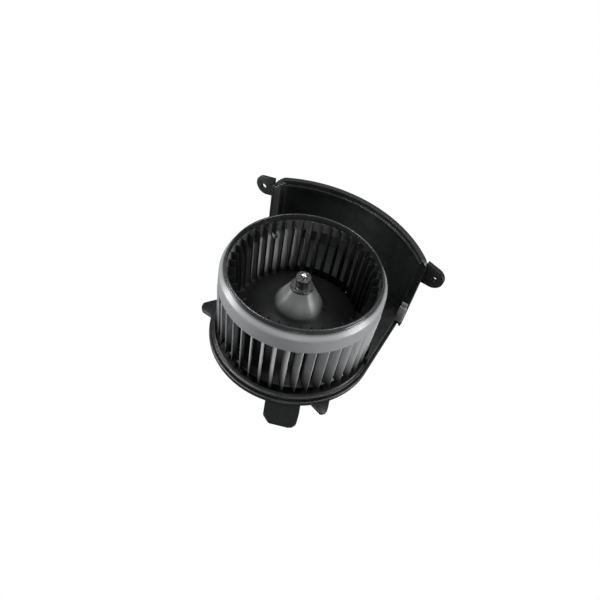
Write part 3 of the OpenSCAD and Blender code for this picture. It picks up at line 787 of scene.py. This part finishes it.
def plate_about_hole(outline, hole_r, thickness, edge=0.3):
    """Plate round a hole at its own origin; the outline is seen whole from the hole."""
    outer = [Vector(p) for p in outline]
    if area_of(outer) < 0:
        outer.reverse()
    unit = [p.normalized() for p in outer]
    inner = [u * hole_r for u in unit]

    def level(points, shift, z):
        return [(p.x + u.x * shift, p.y + u.y * shift, z) for p, u in zip(points, unit)]

    rings = [
        level(inner, edge, 0), level(inner, 0, edge), level(inner, 0, thickness - edge),
        level(inner, edge, thickness), level(outer, -edge, thickness),
        level(outer, -0.3 * edge, thickness - 0.3 * edge), level(outer, 0, thickness - edge),
        level(outer, 0, edge), level(outer, -0.3 * edge, 0.3 * edge), level(outer, -edge, 0),
    ]
    return Shape().loft(rings, loop=True)


def ear_outline(mid, radius, root_x, top_rise, low_rise, out, end_steps=40, root_steps=12):
    """Round end about mid, and edges that climb towards the root, in the ear's plane.

    The rises are in degrees. out is 1 or -1, the way the ear points along X.
    """
    run = abs(mid.x - root_x)
    top, low = math.radians(top_rise), math.radians(low_rise)
    points = []
    for k in range(end_steps + 1):
        # From the tangent point on top, round the outer end, to the one below
        a = math.pi / 2 - top + (top - math.pi - low) * k / end_steps
        points.append(mid + Vector((out * math.cos(a), math.sin(a))) * radius)
    root_low = mid.y - radius / math.cos(low) + run * math.tan(low)
    root_top = mid.y + radius / math.cos(top) + run * math.tan(top)
    for k in range(root_steps + 1):
        points.append(Vector((root_x, root_low + (root_top - root_low) * k / root_steps)))
    return points


def add_ear(shape, out, post_x, hole, mid, radius, thick, hole_r, top_rise, low_rise):
    """Fixing ear beside a post; hole and mid are (x, z)."""
    hole = Vector(hole)
    outline = ear_outline(Vector(mid), radius, post_x - out, top_rise, low_rise, out)
    ear = plate_about_hole([p - hole for p in outline], hole_r, thick)
    shape.add(ear.verts, ear.faces,
              Matrix.Translation((hole.x, FRONT_Y + thick, hole.y)) @ UPRIGHT)


def frame_point(side, s, z, depth, wrap):
    """Point of the frame: s runs inward from a post's outer edge, depth out of its face.

    side is -1 at the left post and 1 at the right. wrap is 0 in the post's plane and 1 on
    the cylinder of the arc.
    """
    if side < 0:
        flat = Vector((LEFT_X + s, FRONT_Y - depth, z))
        a = ARC_END - s / WALL_R
    else:
        flat = Vector((RIGHT_X - s, FRONT_Y - depth, z))
        a = ARC_START + (s - RIGHT_POST_W) / WALL_R
    r = WALL_R - FRAME_T - depth
    curved = Vector((ARC.x + r * math.cos(a), ARC.y + r * math.sin(a), z))
    return flat.lerp(curved, wrap)


def frame_section(side, outer, inner, wrap, groove=0.0):
    """Closed ring of points: outer lip, groove, inner lip and flat back."""
    outer, inner = Vector(outer), Vector(inner)
    across = inner - outer
    width = across.length
    across.normalize()
    lip, inner_lip, lean = 2.1, 1.1, 0.35
    inner_out = LIP_OUT - 0.2
    outline = [
        (0, -FRAME_T), (0, LIP_OUT), (lip, LIP_OUT), (lip + lean, groove),
        (width - inner_lip - lean, groove), (width - inner_lip, inner_out), (width, inner_out),
        (width, -FRAME_T),
    ]
    ring = []
    for p in rounded(outline, 0.4, 3):
        place = outer + across * p.x
        ring.append(frame_point(side, place.x, place.y, p.y, wrap))
    return ring


def frame_band():
    """The channel that runs up the left post, along the arc and down the right post."""
    low = TOP - FRAME_TOP_H
    post_steps, corner_steps, arc_steps = 8, 10, 72
    posts = {}
    for side, post_w, corner_r, inner_top, groove in (
            (-1, LEFT_POST_W, 10.0, TOP - 3.2, LIP_OUT - 0.45), (1, RIGHT_POST_W, 8.0, low, 0.0)):
        stations = []
        for k in range(post_steps + 1):
            t = k / post_steps
            outer = (0, BASE + (TOP - corner_r - BASE) * t)
            inner = (post_w, BASE + (inner_top - BASE) * t)
            stations.append(frame_section(side, outer, inner, 0, groove))
        # Round the corner, while the section moves from the post's plane onto the arc
        for k in range(1, corner_steps + 1):
            t = k / corner_steps
            turn = t * math.pi / 2
            wrap = t * t * (3 - 2 * t)
            outer = (corner_r * (1 - math.cos(turn)), TOP - corner_r + corner_r * math.sin(turn))
            inner = (post_w, inner_top + (low - inner_top) * t)
            stations.append(frame_section(side, outer, inner, wrap, groove * (1 - t)))
        posts[side] = stations
    start = ARC_END - LEFT_POST_W / WALL_R
    arc = []
    for k in range(1, arc_steps):
        s = (start + (ARC_START - start) * k / arc_steps - ARC_START) * WALL_R + RIGHT_POST_W
        arc.append(frame_section(1, (s, TOP), (s, low), 1))
    return posts[-1] + arc + posts[1][::-1]


def scroll_wall():
    """Frame, curved panel behind it, back of the left post with its web, and two ears."""
    shape = Shape().loft(frame_band())
    frame_low = TOP - FRAME_TOP_H
    panel_in, panel_out = WALL_R - 1.6, WALL_R + 0.88
    panel_foot, panel_top = SCROLL_FLOOR + 0.02, frame_low + 1.4
    panel = [
        (panel_in, panel_foot), (panel_out, panel_foot), (panel_out, panel_top),
        (panel_in, panel_top),
    ]
    start, sweep = math.degrees(ARC_START), math.degrees(ARC_END - ARC_START)
    shape.lathe(rounded(panel, 0.3, 3), 96, start, sweep - 0.3, Matrix.Translation((*ARC, 0)))
    post_inner = LEFT_X + LEFT_POST_W
    fit = 0.05
    shape.block((LEFT_X + fit, FRONT_Y + 1, BASE), (post_inner - fit, FRONT_Y + 5.2, TOP - 12), 0.4)
    shape.block((post_inner - 2, FRONT_Y + 1, SCROLL_FLOOR + fit),
                (post_inner - fit, FRONT_Y + 11.2, frame_low), 0.3)
    add_ear(shape, -1, LEFT_X, hole=(-104.4, TOP - 15), mid=(-103.4, TOP - 13.5), radius=10.27,
            thick=3.0, hole_r=2.7, top_rise=14, low_rise=14)
    add_ear(shape, 1, RIGHT_X, hole=(93.4, TOP - 16.4), mid=(91.2, TOP - 16.4), radius=10.97,
            thick=4.5, hole_r=2.3, top_rise=14, low_rise=0)
    shape.make("scroll_wall_moulding", "carrier", housing_mat, "housing_plastic", "scroll_wall")


scroll_wall()


def snap_clips():
    """Tongue in front of each post: a broad foot with a narrower lug on top."""
    lug_h, lug_w = 5.5, 6
    for node, lug_in in (("clip_right", 0.4), ("clip_left", 0.8)):
        low, high = box_mm(node)
        lug_z, lug_x = high.z - lug_h, low.x + lug_in
        shape = Shape().block(low, (high.x, high.y, lug_z), 0.5, 0.6)
        shape.block((lug_x, low.y + 1.2, lug_z - 2), (lug_x + lug_w, high.y, high.z), 0.5, 0.6)
        shape.make(node + "_tongue", "carrier", clip_mat, "clip_plastic", node)


snap_clips()


# ------------------------------------------------------------------ connector socket

def socket():
    """Hollow hood under the rim whose roof slopes down and out, open below."""
    place = turn_z(-62)
    r = BASE_R + 0.4
    back, front, left, right = r - 14, r + 13, -15.5, 16.5
    foot, roof = BASE - 16, BASE - 0.02
    wall, toe, run = 2.4, 1.5, 15.0
    grade = (roof - foot - toe) / run
    outline = [
        (back, left), (front - 9, left), (front - 1.6, left + 6), (front, right - 8),
        (front - 1, right - 4), (front - 4, right - 1), (front - 9, right), (back, right),
    ]
    outline = [Vector(p) for p in rounded(outline, [0.8, 1.5, 1.5, 1.2, 1.0, 1.0, 1.2, 0.8], 4)]
    if area_of(outline) < 0:
        outline.reverse()

    def above_hood(drop):
        """Everything over the sloping roof, lowered by drop."""
        reach, half_width = 60.0, 40.0
        edge = r - 1
        level = roof - drop
        wedge = [(edge - reach, level + 0.001), (edge, level),
                 (edge + reach, level - grade * reach), (edge + reach, roof + reach),
                 (edge - reach, roof + reach)]
        return Shape().loft([[(x, y, z) for x, z in wedge] for y in (-half_width, half_width)],
                            place=place)

    # The hollow is the same outline, one wall further in and one wall lower
    hollow = Shape().prism(inset(outline, wall), foot - 2, roof, 0.1, place)
    inside = bpy.data.objects.new("inside", hollow.mesh("inside"))
    bpy.context.scene.collection.objects.link(inside)
    cut(inside, above_hood(wall))
    inner = Shape().add([v.co / MM for v in inside.data.vertices],
                        [list(f.vertices) for f in inside.data.polygons])
    bpy.data.objects.remove(inside)
    obj = Shape().prism(outline, foot, roof, 0.15, place).make(
        "connector_shroud", "carrier", socket_mat, "housing_plastic", "connector_socket",
        cutters=[above_hood(0), inner])
    soften(obj, 0.35)


socket()


# ------------------------------------------------------------------ stage

def white_to_camera(tree, plain, paper, output):
    """Shows the camera plain white paper, while towards the object the surface stays dim."""
    path = tree.nodes.new("ShaderNodeLightPath")
    swap = tree.nodes.new("ShaderNodeMixShader")
    tree.links.new(path.outputs["Is Camera Ray"], swap.inputs["Fac"])
    tree.links.new(plain, swap.inputs[1])
    tree.links.new(paper, swap.inputs[2])
    tree.links.new(swap.outputs["Shader"], tree.nodes[output].inputs["Surface"])


def stage():
    """Pale floor just under the object."""
    floor = bpy.data.meshes.new("floor")
    half = 6.0
    z = cad_low.z - 0.0002
    floor.from_pydata([(-half, -half, z), (half, -half, z), (half, half, z), (-half, half, z)],
                      [], [(0, 1, 2, 3)])
    obj = bpy.data.objects.new("floor", floor)
    bpy.context.scene.collection.objects.link(obj)
    mat = bpy.data.materials.new("floor")
    mat.use_nodes = True
    nodes = mat.node_tree.nodes
    shader = nodes["Principled BSDF"]
    shader.inputs["Base Color"].default_value = (0.16, 0.16, 0.16, 1)
    shader.inputs["Roughness"].default_value = 0.9
    shader.inputs["Specular IOR Level"].default_value = 0.1
    paper = nodes.new("ShaderNodeEmission")
    paper.inputs["Color"].default_value = (1, 1, 1, 1)
    paper.inputs["Strength"].default_value = 1.0
    white_to_camera(mat.node_tree, shader.outputs["BSDF"], paper.outputs["Emission"],
                    "Material Output")
    floor.materials.append(mat)


def direction(azimuth, elevation):
    """Unit vector out from the object, angles in degrees; azimuth 0 is the -Y side."""
    a, e = math.radians(azimuth), math.radians(elevation)
    return Vector((math.sin(a) * math.cos(e), -math.cos(a) * math.cos(e), math.sin(e)))


def softbox(name, azimuth, elevation, distance, size, power):
    """A square area light aimed at the middle of the object."""
    middle = (cad_low + cad_high) / 2
    away = direction(azimuth, elevation)
    data = bpy.data.lights.new(name, "AREA")
    data.shape = "RECTANGLE"
    data.size = size
    data.size_y = size
    data.energy = power
    light = bpy.data.objects.new(name, data)
    light.location = middle + away * distance
    light.rotation_mode = "QUATERNION"
    light.rotation_quaternion = (-away).to_track_quat("-Z", "Y")
    bpy.context.scene.collection.objects.link(light)


def studio():
    """Dim surroundings and six softboxes."""
    world = bpy.data.worlds.new("studio")
    world.use_nodes = True
    nodes = world.node_tree.nodes
    sky = nodes["Background"]
    sky.inputs["Color"].default_value = (1, 1, 1, 1)
    sky.inputs["Strength"].default_value = 0.1
    paper = nodes.new("ShaderNodeBackground")
    paper.inputs["Color"].default_value = (1, 1, 1, 1)
    white_to_camera(world.node_tree, sky.outputs["Background"], paper.outputs["Background"],
                    "World Output")
    bpy.context.scene.world = world
    softbox("left", -56, 5, 1.0, 0.35, 11)
    softbox("right", 98, 7, 1.0, 0.4, 13)
    softbox("front", 30, 14, 1.2, 0.3, 3)
    softbox("high_left", -62, 64, 1.0, 0.3, 11)
    softbox("high_right", 100, 64, 1.0, 0.3, 6)
    softbox("back", 190, 50, 1.2, 0.8, 2)


def camera():
    """Looks down into the open wheel from the front right, with a slight roll."""
    data = bpy.data.cameras.new("camera")
    data.lens = 30
    data.sensor_width = 36
    data.clip_start = 0.01
    cam = bpy.data.objects.new("camera", data)
    back = direction(25.6, 48.91)
    roll = math.radians(11.39)
    cam.location = (0.13257, -0.27484, 0.45188)
    cam.rotation_mode = "QUATERNION"
    cam.rotation_quaternion = (-back).to_track_quat("-Z", "Y") @ Quaternion((0, 0, 1), roll)
    bpy.context.scene.collection.objects.link(cam)
    bpy.context.scene.camera = cam


stage()
studio()
camera()
bpy.context.scene.view_settings.view_transform = "Standard"
